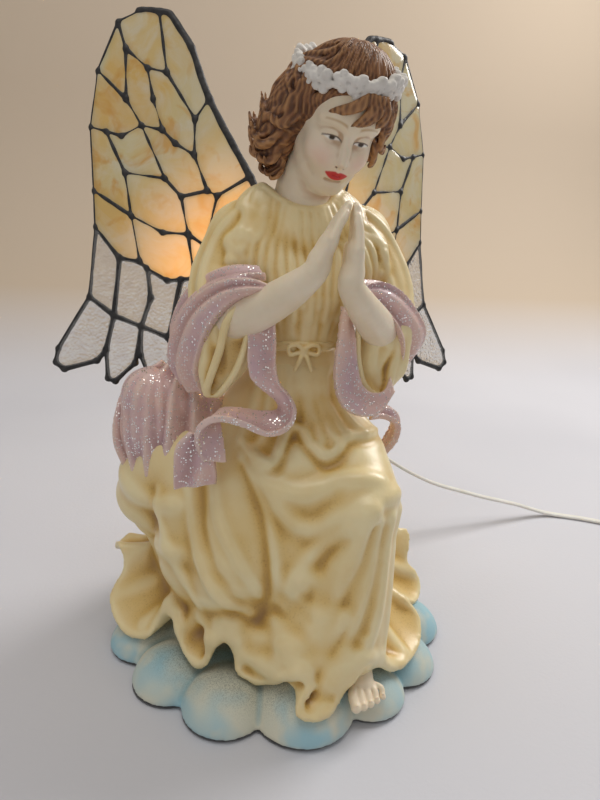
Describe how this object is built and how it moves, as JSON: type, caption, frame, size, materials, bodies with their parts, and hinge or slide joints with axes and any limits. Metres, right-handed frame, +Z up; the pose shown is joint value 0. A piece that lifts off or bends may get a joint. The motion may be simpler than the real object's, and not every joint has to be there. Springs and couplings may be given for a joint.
{
  "type": "angel accent lamp figurine",
  "caption": "Kneeling praying angel figurine lamp on a cloud base, with stained-glass wings lit from behind and a mains lead.",
  "frame": {"origin": "centre of the flat underside of the base", "axes": "+Z up, the figure faces -Y, +X is the figure's left"},
  "size_m": [0.4879, 0.1836, 0.2978],
  "materials": {
    "cloud_paint": "matte airbrushed sky blue and cream with grey speckle",
    "felt": "dark felt",
    "gown_paint": "satin butter yellow with an ochre wash in the folds",
    "skin_paint": "satin pale ivory",
    "hair_paint": "matte auburn with dark wash",
    "flower_paint": "matte white",
    "shawl_glitter": "pink with fine glitter",
    "dark_solder": "black patina on copper foil and solder",
    "opal_glass": "opalescent cream and amber glass",
    "clear_glass": "clear glass with a hammered texture",
    "brass": "plain brass",
    "zinc_steel": "zinc plated",
    "socket_card": "cream moulded socket",
    "nickel_cap": "bright cap",
    "bulb_glass": "clear bulb, lit",
    "white_pvc": "white soft PVC",
    "black_tie": "black plastic tie",
    "white_switch": "white moulded plastic"
  },
  "bodies": {
    "figure": {"cloud_base": "cloud_paint", "felt_pad": "felt", "gown_skirt": "gown_paint", "gown_hem": "gown_paint", "gown_train": "gown_paint", "bodice": "gown_paint", "waist_tie": "gown_paint", "right_sleeve": "gown_paint", "left_sleeve": "gown_paint", "right_arm": "skin_paint", "left_arm": "skin_paint", "head": "skin_paint", "hair": "hair_paint", "flower_crown": "flower_paint", "bare_foot": "skin_paint", "shawl_right": "shawl_glitter", "shawl_ribbon": "shawl_glitter", "shawl_left": "shawl_glitter", "shawl_rear": "shawl_glitter", "right_wing_came": "dark_solder", "left_wing_came": "dark_solder", "right_wing_opal_glass": "opal_glass", "left_wing_opal_glass": "opal_glass", "right_wing_clear_glass": "clear_glass", "left_wing_clear_glass": "clear_glass", "right_wing_tab": "brass", "left_wing_tab": "brass", "wing_bracket": "zinc_steel", "bracket_screws": "zinc_steel", "wing_screws": "zinc_steel", "lamp_mount": "gown_paint", "lamp_pipe": "zinc_steel", "pipe_nut": "zinc_steel", "socket_sleeve": "socket_card", "socket_insulator": "socket_card", "screw_shell": "brass", "centre_contact": "brass", "strain_relief": "white_pvc", "lamp_cord": "white_pvc", "cord_coil": "white_pvc", "cord_tail": "white_pvc", "coil_tie": "black_tie", "switch_body": "white_switch", "plug_body": "white_pvc", "plug_blades": "brass"},
    "switch_wheel_body": {"switch_wheel": "white_switch"},
    "bulb_base": {"bulb_cap": "nickel_cap"},
    "bulb": {"bulb_glass": "bulb_glass", "bulb_filament": "zinc_steel"}
  },
  "joints": [
    {"name": "switch_turn", "type": "hinge", "parent": "figure", "child": "switch_wheel_body", "pos_m": [0.30408, 0.06229, 0.0098], "axis": [0, 0, 1], "continuous": true},
    {"name": "bulb_lift", "type": "slide", "parent": "figure", "child": "bulb_base", "axis": [0, 0, 1], "range_m": [0, 0.0102]},
    {"name": "bulb_turn", "type": "hinge", "parent": "bulb_base", "child": "bulb", "pos_m": [0.002, 0.05, 0.15], "axis": [0, 0, 1], "range_deg": [0, 1440]}
  ],
  "couplings": [
    {"joint": "bulb_lift", "follows": "bulb_turn", "m_per_rad": 0.00040425}
  ]
}
